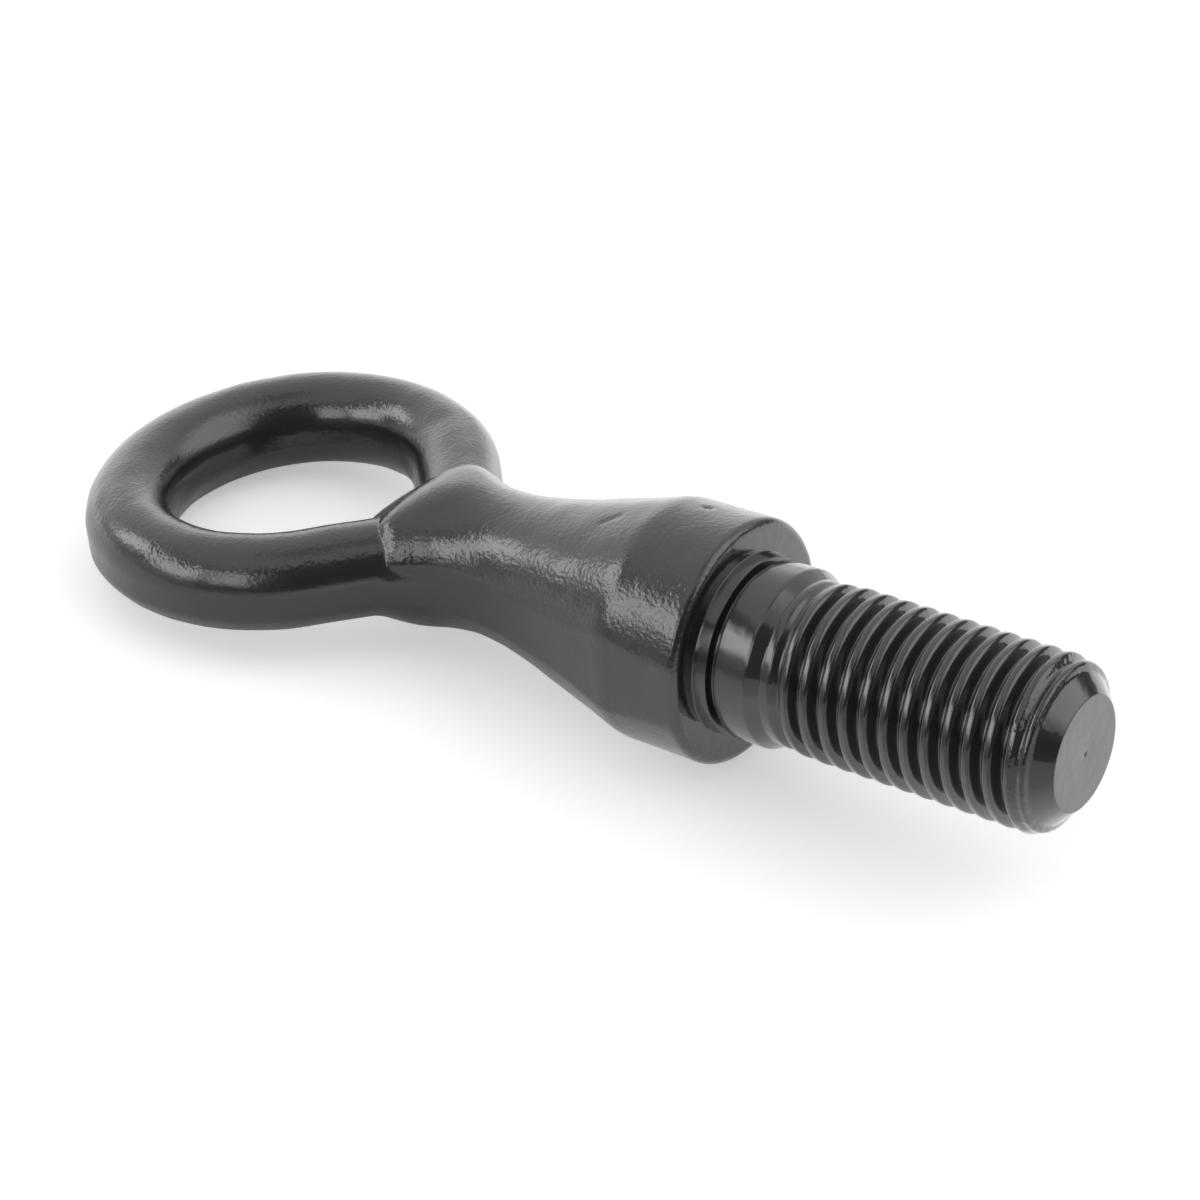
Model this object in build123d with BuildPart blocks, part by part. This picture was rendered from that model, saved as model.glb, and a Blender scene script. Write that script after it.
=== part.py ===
from build123d import *
from math import asin, atan2, cos, hypot, radians, sin, sqrt, tan
import os

# Screw end, measured from the seat face along the screw axis (millimetres)
thread_radius = 10.0
seat_to_end = 43.4
end_face_radius = 6.6
lead_length = thread_radius - end_face_radius
dimple_radius = 0.8
dimple_depth = 0.6
neck_radius = 10.5
neck_length = 7.2
neck_root_radius = 1.7
relief_radius = 9.5
relief_start = 8.6
relief_length = 1.1
thread_entry = thread_radius - relief_radius
thread_start = relief_start + relief_length + thread_entry

# Forged collar and waisted shank, measured back from the seat face to the eye
seat_land = 2.3
collar_radius = neck_radius + neck_root_radius + seat_land
collar_length = 10.8
rim_chamfer = 0.5
eye_chord_x = -52.5
waist_radius = 8.9
waist_to_eye = 16.0
waist_x = eye_chord_x + waist_to_eye
flare_radius = 10.82
flare_x = (waist_x - collar_length) / 2
flare_slope = 0.3
bulb_radius = 10.6
bulb_to_eye = 6.4
bulb_x = eye_chord_x + bulb_to_eye
bulb_slope = 0.2
bulb_round = 6.0
nose_half_width = 7.5
nose_angle = 38.0
nose_round = 5.0
trim_depth = 0.5

# Ring, a round bar bent about a D-shaped eye and trimmed flat inside and outside
bar_radius = 5.9
bar_half_width = 5.45
eye_length = 29.5
eye_tip_x = eye_chord_x - eye_length
eye_tip_radius = 16.9
eye_shoulder_radius = 13.7
eye_tip_half_angle = 32.6
eye_side_angle = 48.3
tip_trim = 1.15
tip_trim_radius = 34.0
wall_radius = 5.7
wall_half_width = 5.2

# Lying pose: the back edge of the collar and the ring's tip touch the floor
tip_centre_x = eye_tip_x - bar_half_width
ring_end_x = tip_centre_x - bar_half_width + tip_trim
reach = -collar_length - tip_centre_x
tilt = atan2(collar_radius, reach) - asin(bar_radius / hypot(reach, collar_radius))
tip_land = sqrt(bar_radius**2 - (bar_half_width - tip_trim) ** 2)
back_end = ring_end_x * cos(tilt) - tip_land * sin(tilt)
front_end = seat_to_end * cos(tilt) + end_face_radius * sin(tilt)
seat_height = collar_length * sin(tilt) + collar_radius * cos(tilt)

# Nose of the shank: slopes above and below that leave the wall of the eye tangentially
wall_x = eye_chord_x + wall_half_width
nose_x = wall_x - wall_radius * sin(radians(nose_angle))
nose_height = wall_radius * cos(radians(nose_angle))
slope_top_x = nose_x + (collar_radius - nose_height) / tan(radians(nose_angle))

# Working planes: plan lies in the ring, side stands upright along the screw axis
plan = Plane(
    origin=(-(back_end + front_end) / 2, 0, seat_height),
    x_dir=(cos(tilt), 0, sin(tilt)),
    z_dir=(-sin(tilt), 0, cos(tilt)),
)
side = Plane(origin=plan.origin, x_dir=plan.x_dir, z_dir=-plan.y_dir)
screw_axis = Axis(plan.origin, plan.x_dir)

# Shank and collar: one turned outline that narrows to a nose at the eye
with BuildPart() as shank:
    with BuildSketch(side) as outline:
        with BuildLine():
            seat_edge = Line((0, 0), (0, collar_radius - rim_chamfer))
            rim = Line(seat_edge @ 1, (-rim_chamfer, collar_radius))
            collar_top = Line(rim @ 1, (-collar_length, collar_radius))
            flare = Spline(
                collar_top @ 1,
                (flare_x, flare_radius),
                (waist_x, waist_radius),
                (bulb_x, bulb_radius),
                tangents=[(-1, -flare_slope), (-1, bulb_slope)],
            )
            nose = Line(flare @ 1, (nose_x, nose_half_width))
            nose_end = Line(nose @ 1, (nose_x, 0))
            Line(nose_end @ 1, seat_edge @ 0)
        make_face()
        fillet(outline.vertices().sort_by_distance(flare @ 1)[0], bulb_round)
    revolve(axis=screw_axis)
    # Nose sloped above and below, down to the straight wall of the eye
    with BuildSketch(side):
        with BuildLine():
            Polyline(
                (nose_x, 0),
                (nose_x, nose_height),
                (slope_top_x, collar_radius),
                (0, collar_radius),
                (0, 0),
                close=True,
            )
        make_face()
        mirror(about=Plane.XZ)
    extrude(amount=collar_radius + 1, both=True, mode=Mode.INTERSECT)
    stacked_flats = shank.faces().filter_by(GeomType.PLANE).sort_by(Axis(plan.origin, plan.z_dir))
    slope_edges = stacked_flats[0].edges() + stacked_flats[-1].edges()
    fillet(slope_edges.filter_by(GeomType.LINE, reverse=True), nose_round)
    # Trimmed outline: flats where the dies met, and the straight end at the eye
    with BuildSketch(plan):
        with BuildLine():
            trim_seat = Line((0, 0), (0, collar_radius - trim_depth))
            trim_collar = Line(trim_seat @ 1, (-collar_length, collar_radius - trim_depth))
            trim_flare = Spline(
                trim_collar @ 1,
                (flare_x, flare_radius - trim_depth),
                (waist_x, waist_radius - trim_depth),
                (bulb_x, bulb_radius - trim_depth),
                tangents=[(-1, -flare_slope), (-1, bulb_slope)],
            )
            trim_bulb = Line(trim_flare @ 1, (eye_chord_x, bulb_radius - trim_depth))
            trim_end = Line(trim_bulb @ 1, (eye_chord_x, 0))
            Line(trim_end @ 1, trim_seat @ 0)
        make_face()
        mirror(about=Plane.XZ)
    extrude(amount=collar_radius + 1, both=True, mode=Mode.INTERSECT)

# Ring: half of the trimmed bar swept from the tip into the shank, then mirrored
tip_arc_radius = eye_tip_radius + bar_half_width
tip_arc_x = eye_tip_x + eye_tip_radius
shoulder_arc_radius = eye_shoulder_radius + bar_half_width
shoulder_start = 90 - eye_side_angle
shoulder_end = 180 - eye_tip_half_angle
shoulder_x = tip_arc_x + (eye_tip_radius - eye_shoulder_radius) * cos(radians(shoulder_end))
shoulder_y = (eye_tip_radius - eye_shoulder_radius) * sin(radians(shoulder_end))
arm_x = shoulder_x + shoulder_arc_radius * cos(radians(shoulder_start))
arm_y = shoulder_y + shoulder_arc_radius * sin(radians(shoulder_start))
arms_meet_x = arm_x + arm_y / tan(radians(eye_side_angle))
wall_half_length = (arms_meet_x - wall_x) * tan(radians(eye_side_angle))

with BuildPart() as ring:
    with BuildLine(plan):
        CenterArc((tip_arc_x, 0), tip_arc_radius, 180, -eye_tip_half_angle)
        CenterArc(
            (shoulder_x, shoulder_y),
            shoulder_arc_radius,
            shoulder_end,
            shoulder_start - shoulder_end,
        )
        Line((arm_x, arm_y), (arms_meet_x, 0))
    tip_section = Plane(
        origin=plan.from_local_coords((tip_centre_x, 0, 0)), x_dir=plan.x_dir, z_dir=plan.y_dir
    )
    with BuildSketch(tip_section):
        Circle(bar_radius)
        Rectangle(2 * bar_half_width, 2 * bar_radius, mode=Mode.INTERSECT)
    sweep()
    # Straight wall closing the eye towards the shank
    wall_section = Plane(
        origin=plan.from_local_coords((wall_x, 0, 0)), x_dir=plan.x_dir, z_dir=plan.y_dir
    )
    with BuildSketch(wall_section):
        Circle(wall_radius)
        Rectangle(2 * wall_half_width, 2 * wall_radius, mode=Mode.INTERSECT)
    extrude(amount=wall_half_length)
    # The tip of the ring is trimmed a little flatter than its sides
    with BuildSketch(plan):
        with Locations((tip_centre_x, 0)):
            Rectangle(4 * bar_half_width, 2 * tip_arc_radius)
        with Locations((ring_end_x + tip_trim_radius, 0)):
            Circle(tip_trim_radius, mode=Mode.SUBTRACT)
    extrude(amount=bar_radius + 1, both=True, mode=Mode.SUBTRACT)
    mirror(about=side)

# Whole eye: forging plus the machined seat, neck, screw and lead chamfer
with BuildPart() as tow_eye:
    add(shank.part)
    add(ring.part)
    with BuildSketch(side):
        with BuildLine():
            Polyline(
                (0, neck_radius + neck_root_radius),
                (0, 0),
                (seat_to_end - dimple_depth, 0),
                (seat_to_end, dimple_radius),
                (seat_to_end, end_face_radius),
                (seat_to_end - lead_length, thread_radius),
                (thread_start, thread_radius),
                (thread_start - thread_entry, relief_radius),
                (relief_start, relief_radius),
                (neck_length, neck_radius),
                (neck_root_radius, neck_radius),
            )
            CenterArc(
                (neck_root_radius, neck_radius + neck_root_radius), neck_root_radius, 180, 90
            )
        make_face()
    revolve(axis=screw_axis)

tow_eye.part.label = "tow_eye"
os.makedirs("parts", exist_ok=True)
export_step(tow_eye.part, "parts/tow_eye.step")
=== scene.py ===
from math import asin, atan2, cos, hypot, pi, radians, sin, sqrt, tan

import bpy
import numpy as np
from mathutils import Euler, Matrix


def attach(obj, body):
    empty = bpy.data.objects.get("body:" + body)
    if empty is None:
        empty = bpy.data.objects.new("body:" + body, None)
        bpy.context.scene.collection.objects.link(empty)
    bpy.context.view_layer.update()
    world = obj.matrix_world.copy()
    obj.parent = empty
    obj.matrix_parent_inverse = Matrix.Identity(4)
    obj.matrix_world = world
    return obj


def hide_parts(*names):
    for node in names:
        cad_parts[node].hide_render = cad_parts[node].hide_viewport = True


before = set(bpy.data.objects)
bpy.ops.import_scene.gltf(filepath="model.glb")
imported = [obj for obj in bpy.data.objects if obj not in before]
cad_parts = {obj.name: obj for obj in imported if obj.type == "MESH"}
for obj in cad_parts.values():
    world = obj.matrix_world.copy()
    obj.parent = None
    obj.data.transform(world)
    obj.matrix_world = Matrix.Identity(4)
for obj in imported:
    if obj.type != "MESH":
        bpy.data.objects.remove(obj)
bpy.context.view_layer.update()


# Shank and collar: the round, waisted body of the steel forging. It is drop forged in two dies, so its
# sides carry narrow trimmed flats; it is thickest at the collar and pinched into a nose at the eye.
# Sizes are millimetres, and stations run along the screw axis, with 0 at the seat face.
collar_radius = 14.5
collar_back = -10.8
collar_blend = 0.35
rim_round = 1.0
seat_radius = 13.4
seat_tuck = 0.3
flare_stations = np.array([-46.1, -36.5, -23.65, collar_back])
flare_radii = np.array([10.6, 8.9, 10.82, collar_radius])
flare_slopes = (-0.2, 0.3)
nose_station, nose_half_width = -50.81, 7.5
nose_angle = radians(38.0)
bulb_blend = 1.0
nose_blend = 4.5
wall_centre = -47.3
wall_radius = 5.7
nose_height = wall_radius * cos(nose_angle)
eye_chord = -52.5
end_round = 0.3
thinnest_end = 0.2
trim_depth = 0.5
trim_corner = 0.12
collar_trim, collar_trim_spread = 0.35, 5.0
crotch_station, crotch_spread, crotch_widening = -43.0, 2.6, 0.125
tiny = 1e-6

# The eye lies on the collar's back edge and on the ring's tip, which tilts the screw axis.
eye_length = 29.5
bar_radius = 5.9
bar_half_width = 5.45
tip_trim = 1.15
screw_end = 43.4
end_face_radius = 6.6
tip_centre = eye_chord - eye_length - bar_half_width
ring_end = tip_centre - bar_half_width + tip_trim
collar_to_tip = collar_back - tip_centre
lying_tilt = atan2(collar_radius, collar_to_tip) - asin(bar_radius / hypot(collar_to_tip, collar_radius))
tip_land = sqrt(bar_radius ** 2 - (bar_half_width - tip_trim) ** 2)
back_end = ring_end * cos(lying_tilt) - tip_land * sin(lying_tilt)
front_end = screw_end * cos(lying_tilt) + end_face_radius * sin(lying_tilt)
seat_height = collar_radius * cos(lying_tilt) - collar_back * sin(lying_tilt)
seat_centre = np.array([-(back_end + front_end) / 2, 0.0, seat_height])
lying_turn = np.array([
    [cos(lying_tilt), 0.0, -sin(lying_tilt)],
    [0.0, 1.0, 0.0],
    [sin(lying_tilt), 0.0, cos(lying_tilt)],
])


def lay_down(points):
    """Screw-axis millimetres to world metres: turned by the lying tilt about Y, then moved to the seat."""
    return (points @ lying_turn.T + seat_centre) / 1000.0


def soft_min(a, b, blend):
    """The smaller of two lengths; where they differ by less than blend, a parabola of depth blend/4
    rounds the corner."""
    near = np.maximum(blend - np.abs(a - b), 0.0) / blend
    return np.minimum(a, b) - near * near * blend / 4.0


def clamped_spline(x, knots, values, slopes):
    """Cubic through the knots with given end slopes: the knots' slopes solve the usual tridiagonal system,
    Hermite cubics join them, and straight lines carry on past both ends."""
    step = np.diff(knots)
    rise = np.diff(values) / step
    count = len(knots)
    system = np.eye(count)
    right = np.empty(count)
    right[0], right[-1] = slopes
    inner = np.arange(1, count - 1)
    system[inner, inner - 1] = step[1:]
    system[inner, inner] = 2.0 * (step[:-1] + step[1:])
    system[inner, inner + 1] = step[:-1]
    right[1:-1] = 3.0 * (rise[:-1] * step[1:] + rise[1:] * step[:-1])
    slope = np.linalg.solve(system, right)
    i = np.clip(np.searchsorted(knots, x) - 1, 0, count - 2)
    t = (np.clip(x, knots[0], knots[-1]) - knots[i]) / step[i]
    bend = values[i] * (1 + 2 * t) * (1 - t) ** 2 + values[i + 1] * t * t * (3 - 2 * t)
    bend = bend + step[i] * (slope[i] * t * (1 - t) ** 2 + slope[i + 1] * t * t * (t - 1))
    return bend + slopes[0] * np.minimum(x - knots[0], 0) + slopes[1] * np.maximum(x - knots[-1], 0)


def shank_round(x):
    """Turned radius at station x: the flare's spline, softly cut by the nose's cone behind
    and by the collar's cylinder in front."""
    flare = clamped_spline(x, flare_stations, flare_radii, flare_slopes)
    cone = (flare_radii[0] - nose_half_width) / (flare_stations[0] - nose_station)
    nose = nose_half_width + cone * (x - nose_station)
    return soft_min(soft_min(flare, nose, bulb_blend), collar_radius, collar_blend)


def shank_section(x, angle, inset):
    """Distance from the axis at station x and turn angle: the turned radius, widened towards the die line
    (fourth power of the cosine) by a bell curve where the arms leave, softly cut by the trimmed flats at the
    sides (half width over cosine) and by the nose's slopes above and below (height over sine)."""
    upright = shank_round(x) - inset
    widening = crotch_widening * np.exp(-((x - crotch_station) / crotch_spread) ** 2)
    wide = upright * (1.0 + widening)
    turned = upright * (1.0 + widening * np.cos(angle) ** 4)
    trim = trim_depth + collar_trim * np.exp(-((x - collar_back) / collar_trim_spread) ** 2)
    flat = (wide - trim) / np.maximum(np.abs(np.cos(angle)), tiny)
    slope = nose_height + (x - nose_station) * tan(nose_angle)
    wall = np.sqrt(np.maximum(wall_radius ** 2 - (x - wall_centre) ** 2, thinnest_end ** 2))
    height = np.where(x < nose_station, wall, slope) - inset
    top = height / np.maximum(np.abs(np.sin(angle)), tiny)
    return soft_min(soft_min(turned, flat, trim_corner), top, nose_blend)


def skin(name, rows, ends):
    """A closed tube from a grid of rows by columns: quads between neighbours, each row joined round,
    and a fan of triangles from the first and last row to the two end points."""
    count, around = rows.shape[:2]
    points = np.concatenate([rows.reshape(-1, 3), np.asarray(ends, dtype=float)])
    index = np.arange(count * around).reshape(count, around)
    turned = np.roll(index, -1, axis=1)
    quads = np.stack([index[:-1], turned[:-1], turned[1:], index[1:]], axis=-1).reshape(-1, 4)
    first = np.stack([np.full(around, count * around), turned[0], index[0]], axis=-1)
    last = np.stack([np.full(around, count * around + 1), index[-1], turned[-1]], axis=-1)
    mesh = bpy.data.meshes.new(name)
    mesh.from_pydata(lay_down(points).tolist(), [], quads.tolist() + first.tolist() + last.tolist())
    mesh.shade_smooth()
    piece = bpy.data.objects.new(name, mesh)
    bpy.context.scene.collection.objects.link(piece)
    return piece


# Rows stand closer where the outline turns: at the rounded end, the collar's back edge and the rim,
# whose rows pass from the trimmed section to the seat's circle and then tuck in behind the seat face.
shank_columns = 256
bulb_rows, flare_rows, back_edge_rows, collar_rows = 56, 60, 22, 16
turn_angle = np.linspace(0.0, 2.0 * pi, shank_columns, endpoint=False)
end_turn = np.linspace(0.0, pi / 2, 5)
rim_turn = np.linspace(0.0, pi / 2, 9)[1:]
end_rows, rim_rows = len(end_turn), len(rim_turn)
stations = np.concatenate([
    eye_chord + end_round * (1 - np.cos(end_turn)),
    np.linspace(eye_chord + 0.5, -40.0, bulb_rows),
    np.linspace(-39.6, -14.0, flare_rows),
    np.linspace(-13.6, -8.4, back_edge_rows),
    np.linspace(-8.0, -rim_round, collar_rows),
    -rim_round + rim_round * np.sin(rim_turn),
])
insets = np.zeros(len(stations))
insets[:end_rows] = end_round * (1 - np.sin(end_turn))
distance = shank_section(stations[:, None], turn_angle[None, :], insets[:, None])
before_rim = distance[-rim_rows - 1]
distance[-rim_rows:] = seat_radius + (before_rim - seat_radius) * np.cos(rim_turn)[:, None]
stations = np.append(stations, -seat_tuck)
distance = np.concatenate([distance, np.full((1, shank_columns), seat_radius - 0.1)])
shank_rows = np.stack([
    np.broadcast_to(stations[:, None], distance.shape),
    distance * np.cos(turn_angle),
    distance * np.sin(turn_angle),
], axis=-1)
forging = skin("tow_eye_forging", shank_rows, [(eye_chord, 0, 0), (-seat_tuck, 0, 0)])


# Ring: the round bar of the forging bent about a D-shaped eye, its two arms running
# straight into the shank. The dies left it flat inside and outside where the flash
# was trimmed off, and a little flatter still at the tip.
eye_tip_radius = 16.9
eye_shoulder_radius = 13.7
tip_arc_centre = np.array([eye_chord - eye_length + eye_tip_radius, 0.0])
tip_arc_radius = eye_tip_radius + bar_half_width
shoulder_centre = np.array([-67.8, 1.724])
shoulder_radius = eye_shoulder_radius + bar_half_width
shoulder_from, shoulder_to = radians(41.7), radians(147.4)
arm_inside = 3.8
tip_trim_radius = 34.0
tip_trim_blend = 0.3
punch_draft = radians(8.0)
bar_corner = 0.22
upper_outside, upper_inside = 5.55, 5.39
above_die = 0.12

arm_rows, shoulder_rows, tip_rows = 26, 64, 22
arm_across = np.array([cos(shoulder_from), sin(shoulder_from)])
arm_along = np.array([sin(shoulder_from), -cos(shoulder_from)])
arm_corner = shoulder_centre + shoulder_radius * arm_across
arm_start = arm_corner + (arm_corner[1] - arm_inside) / cos(shoulder_from) * arm_along
arm = arm_start + np.linspace(0.0, 1.0, arm_rows)[:-1, None] * (arm_corner - arm_start)
arm_out = np.broadcast_to(arm_across, arm.shape)
swing = np.linspace(shoulder_from, shoulder_to, shoulder_rows)[:-1]
shoulder_out = np.stack([np.cos(swing), np.sin(swing)], axis=-1)
swing = np.linspace(shoulder_to, pi, tip_rows)
tip_out = np.stack([np.cos(swing), np.sin(swing)], axis=-1)
half_path = np.concatenate([
    arm,
    shoulder_centre + shoulder_radius * shoulder_out,
    tip_arc_centre + tip_arc_radius * tip_out,
])
half_out = np.concatenate([arm_out, shoulder_out, tip_out])
mirror = [1, -1]
path = np.concatenate([half_path, (half_path * mirror)[-2::-1]])[::-1]
outward = np.concatenate([half_out, (half_out * mirror)[-2::-1]])[::-1]


def ease(x, low, high):
    """Smooth step from 0 at low to 1 at high: 3t^2 - 2t^3."""
    t = np.clip((x - low) / (high - low), 0.0, 1.0)
    return t * t * (3.0 - 2.0 * t)


def bar_edge(side, up, outer):
    """Bar's radius in the direction (side outward, up): a circle, softly cut flat outside and, leaning by the
    punch's draft, inside. Above the die line it also stays inside an ellipse with its own half widths
    outside and inside, as the upper die's hollow has; the corner between them softens upwards."""
    outside = side > 0
    flat = np.where(outside, outer, bar_half_width)
    flat = flat / np.maximum(np.where(outside, side, tan(punch_draft) * up - side), tiny)
    hollow = 1.0 / np.hypot(side / np.where(outside, upper_outside, upper_inside), up / bar_radius)
    upper = np.where(up > above_die, hollow, bar_radius)
    upper_corner = 0.03 + 0.2 * ease(up, 0.1, 0.4)
    return soft_min(soft_min(bar_radius, flat, bar_corner), upper, upper_corner)


def bar_section(centre, out, angle):
    """Bar's radius round each station of the path; its outer flat is the nearer of the side trim
    and the tip's larger trimming circle."""
    offset = centre - [ring_end + tip_trim_radius, 0.0]
    along = np.sum(offset * out, axis=-1)
    inside_circle = along ** 2 - np.sum(offset ** 2, axis=-1) + tip_trim_radius ** 2
    reach = -along + np.sqrt(np.maximum(inside_circle, 0.0))
    outer = soft_min(reach, bar_half_width, tip_trim_blend)[:, None]
    return bar_edge(np.cos(angle)[None, :], np.sin(angle)[None, :], outer)


bar_columns = 96
bar_angle = np.linspace(0.0, 2.0 * pi, bar_columns, endpoint=False)
bar_distance = bar_section(path, outward, bar_angle)
sideways = bar_distance * np.cos(bar_angle)
ring_rows = np.stack([
    path[:, None, 0] + sideways * outward[:, None, 0],
    path[:, None, 1] + sideways * outward[:, None, 1],
    bar_distance * np.sin(bar_angle),
], axis=-1)
ring = skin("ring", ring_rows, [(*path[0], 0), (*path[-1], 0)])

# Ring and shank are one forging, so their two skins become one closed mesh.
union = forging.modifiers.new("one_forging", "BOOLEAN")
union.operation = "UNION"
union.solver = "MANIFOLD"
union.object = ring
joined = bpy.data.meshes.new_from_object(forging.evaluated_get(bpy.context.evaluated_depsgraph_get()))
forging.modifiers.clear()
forging.data = joined
bpy.data.objects.remove(ring)
joined.materials.clear()

# Metal fills the crotch between arm and shank: the skin near it moves onto a rounded web,
# by a few steps down the slope of the distance to it.
crease_blend = 0.15
crotch_fill, fill_height = 1.85, 1.7
fill_from, fill_run = -49.0, 3.0
crease_end = -55.0
slope_probe = 0.02
longest_step, least_slope = 0.4, 0.2


def crotch_gap(points):
    """Signed distance to ring arm and shank together, and whether the fillet reaches the point: the two
    distances meet in a soft minimum whose blend is wide at and below the die line, where metal fills the
    crotch, and narrow over the top crease."""
    x, y, z = points.T
    from_shank = np.hypot(y, z) - shank_section(x, np.arctan2(z, y), 0.0)
    aside = np.stack([x, np.abs(y)], axis=-1) @ arm_across - arm_corner @ arm_across
    reach = np.hypot(aside, z)
    from_arm = reach - bar_edge(aside / reach, z / reach, bar_half_width)
    outside = np.clip((x - fill_from) / fill_run, 0.0, 1.0)
    blend = crease_blend + crotch_fill * outside * np.exp(-(np.maximum(z, 0.0) / fill_height) ** 2)
    in_fillet = (np.abs(from_shank - from_arm) < blend) & (x > crease_end)
    return soft_min(from_shank, from_arm, blend), in_fillet


skin_points = np.empty(len(joined.vertices) * 3, dtype=np.float32)
joined.vertices.foreach_get("co", skin_points)
skin_points = (skin_points.reshape(-1, 3).astype(float) * 1000.0 - seat_centre) @ lying_turn
near_crotch = crotch_gap(skin_points)[1]
web = skin_points[near_crotch]
for _ in range(4):
    gap = np.clip(crotch_gap(web)[0], -longest_step, longest_step)
    slope = np.stack([
        (crotch_gap(web + probe)[0] - crotch_gap(web - probe)[0]) / (2.0 * slope_probe)
        for probe in slope_probe * np.eye(3)
    ], axis=-1)
    web = web - gap[:, None] * slope / np.maximum(np.sum(slope ** 2, axis=-1), least_slope)[:, None]
skin_points[near_crotch] = web

# The dies leave the skin slightly uneven: a mean of a few fixed sine waves, some hundredths of a
# millimetre high, moves it inwards; the machined rim stays true.
wave_count = 14
shortest_wave, longest_wave = 4.0, 12.0
unevenness = 0.12
true_rim, rim_fade = -1.2, 3.0
waves = np.random.default_rng(7)
heading = waves.normal(size=(wave_count, 3))
heading /= np.linalg.norm(heading, axis=-1, keepdims=True)
number = 2.0 * pi / waves.uniform(shortest_wave, longest_wave, wave_count)
shift = waves.uniform(0.0, 2.0 * pi, wave_count)
ripple = np.sin(skin_points @ (heading * number[:, None]).T + shift).mean(axis=-1)
normals = np.empty(len(joined.vertices) * 3, dtype=np.float32)
joined.vertices.foreach_get("normal", normals)
normals = normals.reshape(-1, 3) @ lying_turn
moved = unevenness * (ripple - 0.5) * np.clip((true_rim - skin_points[:, 0]) / rim_fade, 0.0, 1.0)

# Two marks of handling, dents along a short line in plan on the upper side (start, end, width, depth).
handling_marks = {
    "gouge on the flare": ((-17.2, -3.0), (-15.6, -1.6), 0.35, 0.16),
    "nick on the collar": ((-7.1, 3.1), (-6.5, 3.5), 0.3, 0.3),
}
for start, end, width, depth in handling_marks.values():
    run = np.array(end) - start
    from_start = skin_points[:, :2] - start
    share = np.clip(from_start @ run / (run @ run), 0.0, 1.0)
    off_line = np.linalg.norm(from_start - share[:, None] * run, axis=-1)
    moved = moved - depth * np.exp(-(off_line / width) ** 2) * (skin_points[:, 2] > 0)
skin_points = skin_points + normals * moved[:, None]
joined.vertices.foreach_set("co", lay_down(skin_points).astype(np.float32).ravel())
joined.update()
joined.shade_smooth()
joined.set_sharp_from_angle(angle=radians(38))


def linear_colour(code):
    """sRGB hex to linear RGBA: c/12.92 below 0.04045, else ((c + 0.055)/1.055) to the power 2.4."""
    channel = np.array([int(code[i:i + 2], 16) for i in (1, 3, 5)]) / 255.0
    linear = np.where(channel <= 0.04045, channel / 12.92, ((channel + 0.055) / 1.055) ** 2.4)
    return (*linear.tolist(), 1.0)


def emptied(owner):
    """The same material or world, with nodes on and none in it yet."""
    owner.use_nodes = True
    owner.node_tree.nodes.clear()
    return owner


def add_node(owner, kind, inputs=(), **settings):
    """Adds one node: settings are its own properties, inputs give each socket a value or a link."""
    made = owner.node_tree.nodes.new(kind)
    for name, value in settings.items():
        setattr(made, name, value)
    for socket, value in dict(inputs).items():
        if isinstance(value, bpy.types.NodeSocket):
            owner.node_tree.links.new(value, made.inputs[socket])
        else:
            made.inputs[socket].default_value = value
    return made


# Gloss black paint over forged steel: the hammered skin shows through the film as fine grain and
# wrinkles across the bar, so highlights break up while the gloss stays; the trimmed band along the
# die line is smoother. The real grain is too fine to show, so it is drawn at half a millimetre.
paint_black = linear_colour("#1c1c1d")
paint_ior = 1.5
to_seat = (-seat_centre / 1000.0).tolist()
grain_size, grain_height = 0.5, 0.06
wrinkle_size, wrinkle_height = 2.0, 0.065
smooth_band, rough_from = 2.2, 4.2
forged_paint = emptied(bpy.data.materials.new("gloss_black_paint_on_forged_steel"))
place = add_node(forged_paint, "ShaderNodeTexCoord").outputs["Object"]
from_seat = add_node(forged_paint, "ShaderNodeMapping", {"Vector": place, "Location": to_seat}).outputs["Vector"]
above_die_line = add_node(forged_paint, "ShaderNodeVectorMath", {
    0: from_seat, 1: lying_turn[:, 2].tolist(),
}, operation="DOT_PRODUCT").outputs["Value"]
off_die_line = add_node(forged_paint, "ShaderNodeMath", {0: above_die_line}, operation="ABSOLUTE").outputs["Value"]
hammered = add_node(forged_paint, "ShaderNodeMapRange", {
    "Value": off_die_line, "From Min": smooth_band / 1000, "From Max": rough_from / 1000,
    "To Min": 0.3, "To Max": 1.0,
}, interpolation_type="SMOOTHSTEP").outputs["Result"]
grain = add_node(forged_paint, "ShaderNodeTexNoise", {
    "Vector": place, "Scale": 1000 / grain_size, "Detail": 2.5, "Roughness": 0.5,
}).outputs["Fac"]
across = add_node(forged_paint, "ShaderNodeMapping", {
    "Vector": place, "Scale": (1.0, 0.22, 1.0),
}).outputs["Vector"]
wrinkle = add_node(forged_paint, "ShaderNodeTexNoise", {
    "Vector": across, "Scale": 1000 / wrinkle_size, "Detail": 2.0, "Roughness": 0.5, "Distortion": 0.6,
}).outputs["Fac"]
wrinkle_bump = add_node(forged_paint, "ShaderNodeBump", {
    "Height": wrinkle, "Strength": hammered, "Distance": wrinkle_height / 1000,
}).outputs["Normal"]
grain_bump = add_node(forged_paint, "ShaderNodeBump", {
    "Height": grain, "Strength": hammered, "Distance": grain_height / 1000, "Normal": wrinkle_bump,
}).outputs["Normal"]
forged_shader = add_node(forged_paint, "ShaderNodeBsdfPrincipled", {
    "Base Color": paint_black,
    "Roughness": 0.3,
    "IOR": paint_ior,
    "Coat Weight": 1.0,
    "Coat Roughness": 0.1,
    "Normal": grain_bump,
    "Coat Normal": grain_bump,
})
add_node(forged_paint, "ShaderNodeOutputMaterial", {"Surface": forged_shader.outputs["BSDF"]})
forging.data.materials.append(forged_paint)
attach(forging, "root")
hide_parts("tow_eye")


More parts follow.
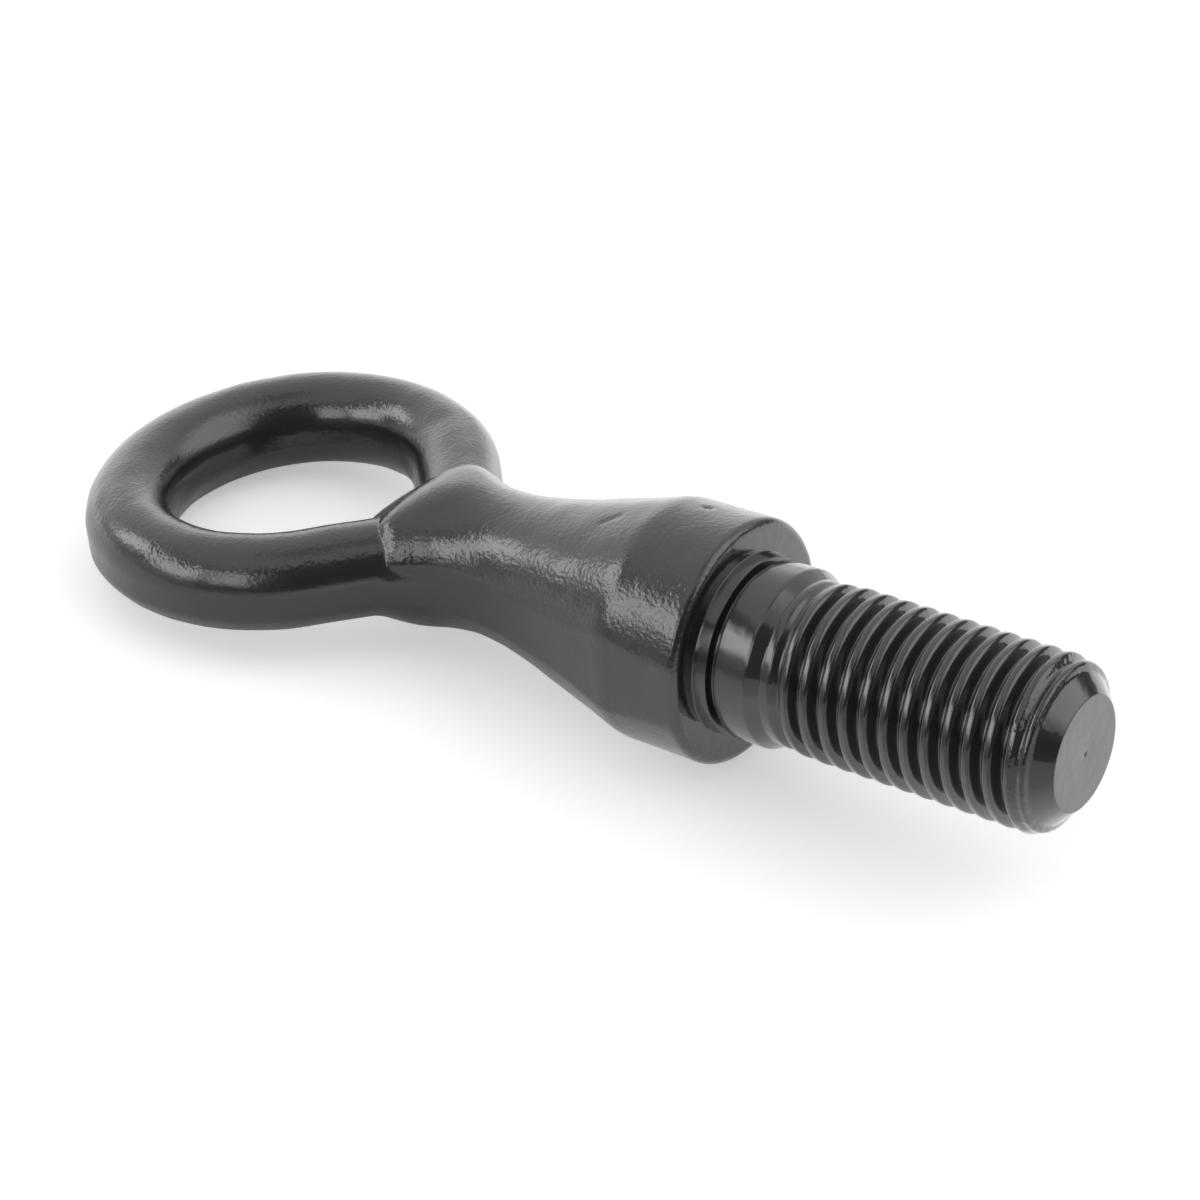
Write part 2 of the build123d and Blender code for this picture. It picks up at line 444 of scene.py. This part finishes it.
# Screw end: seat face, groove, neck and right-hand thread, machined on the same steel forging
# after it was struck, then painted with it. A lead chamfer and a centre mark close it.
hidden_start = 1.0
land_radius, land_end = 10.75, 1.6
groove_radius, groove_from, groove_to = 9.55, 1.85, 2.45
groove_side = 0.25
neck_radius = 10.5
neck_end = 6.7
thread_radius = 10.0
thread_pitch = 2.567
thread_depth = 1.45
thread_from = 8.15
crest_station = 26.685
crest_turn = radians(160.3)
crest_share, flank_share = 0.17, 0.26
root_corner, crest_corner = 0.3, 0.35
entry_drop, entry_end = 0.4, 13.5
grows_from, grows_to, first_depth = 8.2, 11.8, 0.03
fills_from, fills_to = 39.3, 41.1
last_turn, last_turn_slope = 39.8, 0.4
lead_slope = 1.1
lead_step, lead_step_height, lead_step_run = 41.25, 0.45, 0.35
lead_corner = 0.12
face_ring = 6.2
mark_radius, mark_depth = 0.45, 0.2


def rounded_profile(corners, steps=6):
    """Turned outline through corners (station, radius, rounding): each corner gives way to a quadratic curve
    that leaves and meets its two sides at the rounding's distance from the corner."""
    points = np.array(corners)
    before = points[:-2, :2] - points[1:-1, :2]
    after = points[2:, :2] - points[1:-1, :2]
    before = before / np.linalg.norm(before, axis=-1, keepdims=True) * points[1:-1, 2:]
    after = after / np.linalg.norm(after, axis=-1, keepdims=True) * points[1:-1, 2:]
    t = np.linspace(0.0, 1.0, steps)[None, :, None]
    bent = points[1:-1, None, :2] + before[:, None] * (1 - t) ** 2 + after[:, None] * t ** 2
    return np.concatenate([points[:1, :2], bent.reshape(-1, 2), points[-1:, :2]])


def screw_profile(x, angle):
    """Radius of the screw at station x and turn angle. The ridge follows phase = x/pitch - angle/turn; its
    flanks run straight from crest to root with rounded corners. It grows out of the neck's cone; its last
    turn drops and fills up, then steps down to the lead chamfer's cone."""
    phase = (x - crest_station) / thread_pitch - (angle - crest_turn) / (2 * pi)
    aside = np.abs(phase - np.round(phase))
    drop = (aside - crest_share) / flank_share
    drop = -soft_min(-soft_min(drop, 1.0, root_corner), 0.0, crest_corner)
    entry = entry_drop * (1.0 - ease(x, thread_from, entry_end))
    crest = thread_radius - entry - last_turn_slope * np.maximum(x - last_turn, 0.0)
    deep = thread_depth * (first_depth + (1.0 - first_depth) * ease(x, grows_from, grows_to))
    deep = deep * (1.0 - ease(x, fills_from, fills_to))
    step = lead_step_height * (1.0 - ease(x, lead_step, lead_step + lead_step_run))
    chamfer = end_face_radius + (screw_end - x) * lead_slope + step
    return soft_min(crest - deep * drop, chamfer, lead_corner)


screw_columns = 176
thread_row_step = 0.112
around = np.linspace(0.0, 2.0 * pi, screw_columns, endpoint=False)
entry_radius = thread_radius - entry_drop
turned_start = rounded_profile([
    (-hidden_start, seat_radius - 0.2, 0.0),
    (0.0, seat_radius + 0.01, 0.01),
    (0.0, land_radius, 0.12),
    (land_end, neck_radius, 0.06),
    (groove_from, groove_radius, 0.1),
    (groove_to, groove_radius, 0.1),
    (groove_to + groove_side, neck_radius - 0.02, 0.15),
    (neck_end, neck_radius, 0.25),
    (thread_from, entry_radius - 0.03, 0.12),
    (thread_from + 0.2, entry_radius, 0.0),
])
turned_end = rounded_profile([
    (screw_end - 0.2, end_face_radius + 0.2, 0.0),
    (screw_end, end_face_radius, 0.12),
    (screw_end, face_ring, 0.1),
    (screw_end, mark_radius, 0.1),
    (screw_end - mark_depth, 0.0, 0.0),
])[:-1]
threaded = np.arange(thread_from + 0.3, screw_end - 0.24, thread_row_step)
thread_rows = np.stack([
    np.broadcast_to(threaded[:, None], (len(threaded), screw_columns)),
    screw_profile(threaded[:, None], around[None, :]),
], axis=-1)
rows = np.concatenate([
    np.broadcast_to(turned_start[:, None], (len(turned_start), screw_columns, 2)),
    thread_rows,
    np.broadcast_to(turned_end[:, None], (len(turned_end), screw_columns, 2)),
])
screw_rows = np.stack([rows[..., 0], rows[..., 1] * np.cos(around), rows[..., 1] * np.sin(around)], axis=-1)
screw = skin("tow_eye_screw", screw_rows, [(-hidden_start, 0, 0), (screw_end - mark_depth, 0, 0)])

# The same paint over turned steel: a smooth film that mirrors sharply, with the faint ripple of
# sprayed paint, and gathered in lumps on the last crest, where it ran before it dried.
lump_size, lump_height = 1.5, 0.13
lumps_at, lumps_within, lumps_gone = 40.2, 0.9, 1.8
ripple_size, ripple_height = 1.8, 0.04
turned_paint = emptied(bpy.data.materials.new("gloss_black_paint_on_turned_steel"))
place = add_node(turned_paint, "ShaderNodeTexCoord").outputs["Object"]
from_seat = add_node(turned_paint, "ShaderNodeMapping", {"Vector": place, "Location": to_seat}).outputs["Vector"]
station = add_node(turned_paint, "ShaderNodeVectorMath", {
    0: from_seat, 1: lying_turn[:, 0].tolist(),
}, operation="DOT_PRODUCT").outputs["Value"]
past_lumps = add_node(turned_paint, "ShaderNodeMath", {
    0: station, 1: lumps_at / 1000,
}, operation="SUBTRACT").outputs["Value"]
off_lumps = add_node(turned_paint, "ShaderNodeMath", {0: past_lumps}, operation="ABSOLUTE").outputs["Value"]
gathered = add_node(turned_paint, "ShaderNodeMapRange", {
    "Value": off_lumps, "From Min": lumps_within / 1000, "From Max": lumps_gone / 1000,
    "To Min": 1.0, "To Max": 0.06,
}, interpolation_type="SMOOTHSTEP").outputs["Result"]
lumps = add_node(turned_paint, "ShaderNodeTexNoise", {
    "Vector": place, "Scale": 1000 / lump_size, "Detail": 2.0, "Roughness": 0.6,
}).outputs["Fac"]
lump_bump = add_node(turned_paint, "ShaderNodeBump", {
    "Height": lumps, "Strength": gathered, "Distance": lump_height / 1000,
}).outputs["Normal"]
spray_ripple = add_node(turned_paint, "ShaderNodeTexNoise", {
    "Vector": place, "Scale": 1000 / ripple_size, "Detail": 1.0,
}).outputs["Fac"]
ripple_bump = add_node(turned_paint, "ShaderNodeBump", {
    "Height": spray_ripple, "Strength": 1.0, "Distance": ripple_height / 1000, "Normal": lump_bump,
}).outputs["Normal"]
turned_shader = add_node(turned_paint, "ShaderNodeBsdfPrincipled", {
    "Base Color": paint_black,
    "Roughness": 0.25,
    "IOR": paint_ior,
    "Coat Weight": 1.0,
    "Coat Roughness": 0.04,
    "Normal": ripple_bump,
    "Coat Normal": ripple_bump,
})
add_node(turned_paint, "ShaderNodeOutputMaterial", {"Surface": turned_shader.outputs["BSDF"]})
screw.data.materials.append(turned_paint)
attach(screw, "root")
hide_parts("tow_eye")


# Table: a plain white board, matt, that the eye lies on. The picture sees it near white with a soft
# shadow; in the paint's gloss it carries a painted reflection: painted shade in front, and a painted glow beside
# the screw and at the far side.
table_half = 3.0
table = bpy.data.meshes.new("table")
table.from_pydata([
    (-table_half, -table_half, 0), (table_half, -table_half, 0),
    (table_half, table_half, 0), (-table_half, table_half, 0),
], [], [(0, 1, 2, 3)])
floor = bpy.data.objects.new("table", table)
bpy.context.scene.collection.objects.link(floor)
white = linear_colour("#ffffff")
white_table_with_painted_reflection = emptied(bpy.data.materials.new("white_table_with_painted_reflection"))
ray = add_node(white_table_with_painted_reflection, "ShaderNodeLightPath").outputs
on_table = add_node(white_table_with_painted_reflection, "ShaderNodeTexCoord").outputs["Object"]
towards_front = add_node(white_table_with_painted_reflection, "ShaderNodeVectorMath", {
    0: on_table, 1: (0.588, -0.809, 0.0),
}, operation="DOT_PRODUCT").outputs["Value"]
along_screw = add_node(white_table_with_painted_reflection, "ShaderNodeSeparateXYZ", {"Vector": on_table}).outputs["X"]
matt = add_node(white_table_with_painted_reflection, "ShaderNodeBsdfDiffuse", {"Color": linear_colour("#e6e6e6")})
glow = add_node(white_table_with_painted_reflection, "ShaderNodeEmission", {"Color": white, "Strength": 0.42})
bright = add_node(white_table_with_painted_reflection, "ShaderNodeAddShader", {0: matt.outputs["BSDF"], 1: glow.outputs["Emission"]})
seen = add_node(white_table_with_painted_reflection, "ShaderNodeMixShader", {
    0: ray["Is Camera Ray"], 1: matt.outputs["BSDF"], 2: bright.outputs["Shader"],
})
# Painted shade: in the paint's gloss the table's colour darkens towards the front.
painted_front_shade = add_node(white_table_with_painted_reflection, "ShaderNodeMapRange", {
    "Value": towards_front, "From Min": 0.05, "From Max": 0.09, "To Min": 0.8, "To Max": 0.35,
}, interpolation_type="SMOOTHSTEP").outputs["Result"]
# Painted glow: in the paint's gloss the table glows paler beside the screw and at the far side, though no lamp is
# there.
painted_glow_beside_screw = add_node(white_table_with_painted_reflection, "ShaderNodeMapRange", {
    "Value": along_screw, "From Min": -0.015, "From Max": 0.04, "To Min": 0.0, "To Max": 0.37,
}, interpolation_type="SMOOTHSTEP").outputs["Result"]
painted_glow_far_side = add_node(white_table_with_painted_reflection, "ShaderNodeMapRange", {
    "Value": towards_front, "From Min": -0.08, "From Max": -0.03, "To Min": 0.4, "To Max": 0.0,
}, interpolation_type="SMOOTHSTEP").outputs["Result"]
painted_glow_strength = add_node(white_table_with_painted_reflection, "ShaderNodeMath", {
    0: painted_glow_beside_screw, 1: painted_glow_far_side,
}, operation="MAXIMUM").outputs["Value"]
# The painted reflection: the table as the paint's gloss sees it, with painted shade and painted glow by place.
painted_shade_in_gloss = add_node(white_table_with_painted_reflection, "ShaderNodeBsdfDiffuse", {"Color": painted_front_shade})
painted_glow = add_node(white_table_with_painted_reflection, "ShaderNodeEmission", {"Color": white, "Strength": painted_glow_strength})
painted_reflection = add_node(white_table_with_painted_reflection, "ShaderNodeAddShader", {
    0: painted_shade_in_gloss.outputs["BSDF"], 1: painted_glow.outputs["Emission"],
})
# Only glossy rays see the painted reflection; the picture sees the evenly lit board.
table_shader = add_node(white_table_with_painted_reflection, "ShaderNodeMixShader", {
    0: ray["Is Glossy Ray"], 1: seen.outputs["Shader"], 2: painted_reflection.outputs["Shader"],
})
add_node(white_table_with_painted_reflection, "ShaderNodeOutputMaterial", {"Surface": table_shader.outputs["Shader"]})
table.materials.append(white_table_with_painted_reflection)


# Studio: a pale cloth tent over the table, with soft panels of light in it and no lamps. The tent
# starts above an edge whose height changes with the bearing; below it the room is dark.
# The picture itself sees plain white behind the part.
dark_room, tent_cloth = 0.1, 0.87
tent_edge_soft = 0.05
studio = emptied(bpy.data.worlds.new("studio"))
facing = add_node(studio, "ShaderNodeSeparateXYZ", {
    "Vector": add_node(studio, "ShaderNodeTexCoord").outputs["Generated"],
}).outputs
height = add_node(studio, "ShaderNodeMath", {0: facing["Z"]}, operation="ARCSINE").outputs["Value"]
bearing = add_node(studio, "ShaderNodeMath", {
    0: facing["Y"], 1: facing["X"],
}, operation="ARCTAN2").outputs["Value"]
turn_share = add_node(studio, "ShaderNodeMapRange", {
    "Value": bearing, "From Min": -pi, "From Max": pi, "To Min": 0.0, "To Max": 1.0,
}).outputs["Result"]
# Bearing and height of the tent's edge, in degrees.
tent_edge = [
    (-180, 0), (-175, 46), (-104, 46), (-94, 49), (-76, 51), (-68, 57), (-40, 58),
    (-16, 58), (-6, 19), (0, 18), (84, 17), (98, 0), (180, 0),
]
edge_ramp = add_node(studio, "ShaderNodeValToRGB", {"Fac": turn_share})
while len(edge_ramp.color_ramp.elements) < len(tent_edge):
    edge_ramp.color_ramp.elements.new(0.5)
for stop, (azimuth, elevation) in zip(edge_ramp.color_ramp.elements, tent_edge):
    stop.position = (azimuth + 180) / 360
    stop.color = (elevation / 90,) * 3 + (1.0,)
edge_height = add_node(studio, "ShaderNodeMath", {
    0: edge_ramp.outputs["Color"], 1: pi / 2,
}, operation="MULTIPLY").outputs["Value"]
above_edge = add_node(studio, "ShaderNodeMath", {
    0: height, 1: edge_height,
}, operation="SUBTRACT").outputs["Value"]
radiance = add_node(studio, "ShaderNodeMapRange", {
    "Value": above_edge, "From Min": -tent_edge_soft, "From Max": tent_edge_soft,
    "To Min": dark_room, "To Max": tent_cloth,
}, interpolation_type="SMOOTHSTEP").outputs["Result"]


def hang_panel(light, left, right, low, high, soft, strength):
    """Adds a soft-edged rectangle to the light: strength times four smooth steps,
    two in bearing and two in height (degrees)."""
    panel = strength
    for value, edge, outside in (
        (bearing, left, 0.0), (bearing, right, 1.0), (height, low, 0.0), (height, high, 1.0),
    ):
        step = add_node(studio, "ShaderNodeMapRange", {
            "Value": value, "From Min": radians(edge - soft), "From Max": radians(edge + soft),
            "To Min": outside, "To Max": 1.0 - outside,
        }, interpolation_type="SMOOTHSTEP").outputs["Result"]
        panel = add_node(studio, "ShaderNodeMath", {0: panel, 1: step}, operation="MULTIPLY").outputs["Value"]
    return add_node(studio, "ShaderNodeMath", {0: light, 1: panel}, operation="ADD").outputs["Value"]


# Bearings left and right, heights low and high, softness of the edges (degrees) and strength.
soft_panels = [
    (-173, -156, 14, 37, 6, 3.6),  # softbox on the near side of the ring, left part
    (-156, -134, 22, 35, 6, 3.6),  # its raised middle
    (-134, -104, 14, 34, 6, 3.6),  # its right part
    (115, 165, 2, 20, 8, 0.4),  # low light on the far side of the ring
    (-97, -72, 14, 42, 4, 2.4),  # upright panel straight across from the near side
    (-178, -100, -2, 12, 4, 0.4),  # dim strip under the softbox
    (2, 62, 16, 68, 8, 0.95),  # broad panel past the screw's end, on the far side
    (-190, 190, 79, 100, 5, -0.45),  # darker cloth at the top of the tent
]
for panel_sizes in soft_panels:
    radiance = hang_panel(radiance, *panel_sizes)
tent = add_node(studio, "ShaderNodeBackground", {"Color": white, "Strength": radiance})
plain_white = add_node(studio, "ShaderNodeBackground", {"Color": white, "Strength": 1.0})
backdrop = add_node(studio, "ShaderNodeMixShader", {
    0: add_node(studio, "ShaderNodeLightPath").outputs["Is Camera Ray"],
    1: tent.outputs["Background"],
    2: plain_white.outputs["Background"],
})
add_node(studio, "ShaderNodeOutputWorld", {"Surface": backdrop.outputs["Shader"]})
bpy.context.scene.world = studio


# Camera: a long lens looking down at the part from its screw end and near side, with a slight roll.
camera_place = (0.18902806, -0.25860586, 0.23524397)
camera_turn = Euler((radians(55.02728), radians(-1.26979), radians(36.56540)))
camera = bpy.data.cameras.new("camera")
camera.lens = 100.337
camera.sensor_width = 36.0
viewpoint = bpy.data.objects.new("camera", camera)
viewpoint.matrix_world = Matrix.Translation(camera_place) @ camera_turn.to_matrix().to_4x4()
bpy.context.scene.collection.objects.link(viewpoint)
bpy.context.scene.camera = viewpoint
bpy.context.scene.view_settings.view_transform = "Standard"
